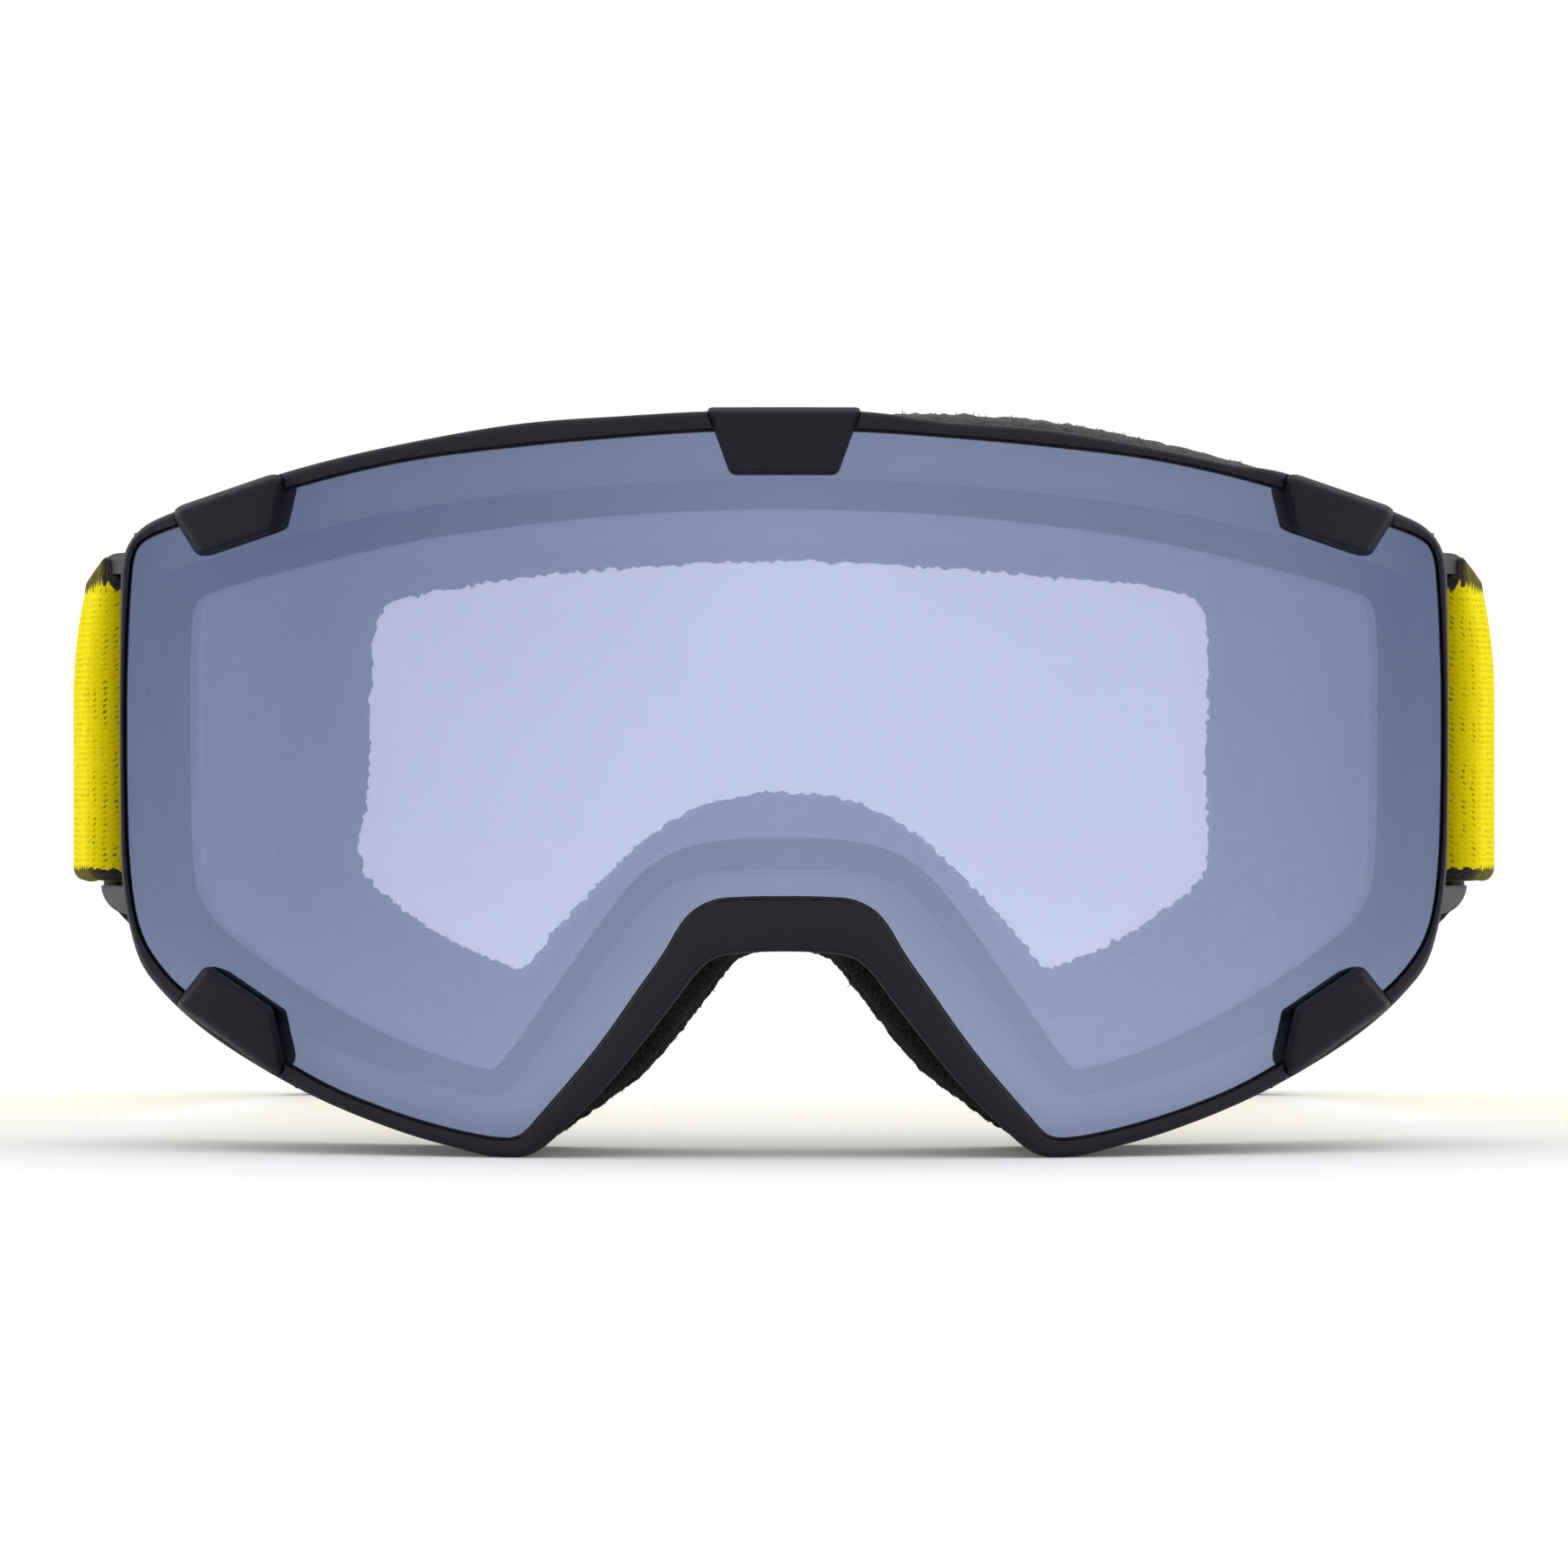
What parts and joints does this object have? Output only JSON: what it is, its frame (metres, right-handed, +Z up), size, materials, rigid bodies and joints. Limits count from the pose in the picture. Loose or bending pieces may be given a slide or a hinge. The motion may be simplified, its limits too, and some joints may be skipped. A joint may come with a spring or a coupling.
{
  "type": "ski goggles",
  "caption": "Snow goggles: curved double lens held by clips in a moulded frame, layered face foam with a nose arch, and an adjustable elastic strap in two halves with a rear clip.",
  "frame": {"origin": "middle of the base, on the surface the goggles stand on", "axes": "+Z up, +Y from the lens towards the face and the rear clip, X across the face"},
  "size_m": [0.1934, 0.2702, 0.097],
  "materials": {
    "frame_black": "fine matte texture",
    "clip_black": "matte",
    "wing_grey": "matte",
    "lens_mirror": "pale violet flash mirror",
    "lens_clear": "clear",
    "gasket_foam": "closed-cell foam",
    "foam_grey": "open-cell foam",
    "fleece_grey": "brushed fleece",
    "strap_yellow": "knit elastic with black edges",
    "silicone_black": "satin silicone",
    "pin_steel": "drawn"
  },
  "bodies": {
    "frame": {"frame_shell": "frame_black", "vent_foam_top": "foam_grey", "vent_foam_lower_left": "foam_grey", "vent_foam_lower_right": "foam_grey", "face_foam_base": "foam_grey", "face_foam_soft": "foam_grey", "face_foam_fleece": "fleece_grey", "hinge_pin_left": "pin_steel", "hinge_pin_right": "pin_steel"},
    "lens_unit": {"outer_lens": "lens_mirror", "lens_gasket": "gasket_foam", "inner_lens": "lens_clear", "lens_breather": "silicone_black", "clip_top": "clip_black", "clip_upper_left": "clip_black", "clip_upper_right": "clip_black", "clip_lower_left": "clip_black", "clip_lower_right": "clip_black"},
    "outrigger_left": {"outrigger_left": "wing_grey"},
    "strap_left": {"strap_left": "strap_yellow", "grip_strip_upper_left": "silicone_black", "grip_strip_lower_left": "silicone_black"},
    "slider_left": {"slider_left": "clip_black"},
    "rear_clip_hook": {"rear_clip_hook": "clip_black"},
    "outrigger_right": {"outrigger_right": "wing_grey"},
    "strap_right": {"strap_right": "strap_yellow", "grip_strip_upper_right": "silicone_black", "grip_strip_lower_right": "silicone_black"},
    "slider_right": {"slider_right": "clip_black"},
    "rear_clip_loop": {"rear_clip_loop": "clip_black"}
  },
  "joints": [
    {"name": "lens_pull", "type": "slide", "parent": "frame", "child": "lens_unit", "axis": [0, -1, 0], "range_m": [0, 0.06]},
    {"name": "outrigger_left_swing", "type": "hinge", "parent": "frame", "child": "outrigger_left", "pos_m": [-0.0854, -0.0832, 0.055], "axis": [0, 0, 1], "range_deg": [-3, 35]},
    {"name": "strap_left_swing", "type": "hinge", "parent": "outrigger_left", "child": "strap_left", "pos_m": [-0.0904, -0.0747, 0.055], "axis": [0, 0, 1], "range_deg": [-3, 30]},
    {"name": "slider_left_slide", "type": "slide", "parent": "strap_left", "child": "slider_left", "axis": [0.1038, 0.9739, -0.2016], "range_m": [0, 0.04]},
    {"name": "rear_clip_hook_swing", "type": "hinge", "parent": "strap_left", "child": "rear_clip_hook", "pos_m": [-0.07471, 0.11702, 0.024], "axis": [0, 0, 1], "range_deg": [-25, 45]},
    {"name": "outrigger_right_swing", "type": "hinge", "parent": "frame", "child": "outrigger_right", "pos_m": [0.0854, -0.0832, 0.055], "axis": [0, 0, -1], "range_deg": [-3, 35]},
    {"name": "strap_right_swing", "type": "hinge", "parent": "outrigger_right", "child": "strap_right", "pos_m": [0.0904, -0.0747, 0.055], "axis": [0, 0, -1], "range_deg": [-3, 30]},
    {"name": "slider_right_slide", "type": "slide", "parent": "strap_right", "child": "slider_right", "axis": [-0.1038, 0.9739, -0.2016], "range_m": [0, 0.04]},
    {"name": "rear_clip_loop_swing", "type": "hinge", "parent": "strap_right", "child": "rear_clip_loop", "pos_m": [0.07471, 0.11702, 0.024], "axis": [0, 0, -1], "range_deg": [-25, 45]}
  ]
}
